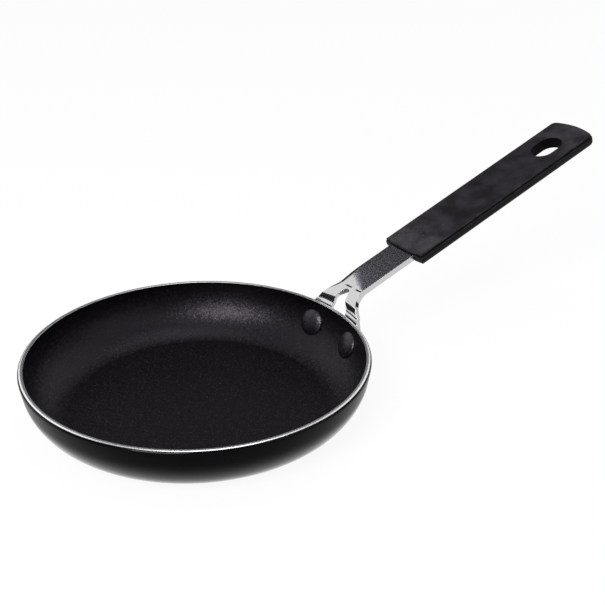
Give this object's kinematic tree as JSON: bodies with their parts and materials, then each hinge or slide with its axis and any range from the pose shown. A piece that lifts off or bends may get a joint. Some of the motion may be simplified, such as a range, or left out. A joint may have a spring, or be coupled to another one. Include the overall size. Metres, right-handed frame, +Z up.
{
  "type": "egg pan",
  "caption": "Small round frying pan with a flat base and flared wall, held by a forked steel strap riveted to its wall, with a flat slip-on grip that ends in a hanging hole",
  "frame": {"origin": "centre of the pan's flat underside, on the surface that it stands on", "axes": "+X runs from the pan's centre out along the handle, +Y is to the left seen along +X, +Z is up"},
  "size_m": [0.278, 0.1398, 0.081],
  "materials": {
    "coated_aluminium": "pressed aluminium with a satin black non-stick lining, a gloss black outer coat and a bare bright lip",
    "polished_steel": "bright polished steel with a fine lengthwise brushing",
    "coated_rivet": "aluminium rivet with a dark satin coat on its head",
    "grip_plastic": "black moulded heat-resistant plastic, matte"
  },
  "bodies": {
    "root": {"pan_body": "coated_aluminium", "handle_strap": "polished_steel", "rivet_left": "coated_rivet", "rivet_right": "coated_rivet", "grip_sleeve": "grip_plastic"}
  },
  "joints": []
}
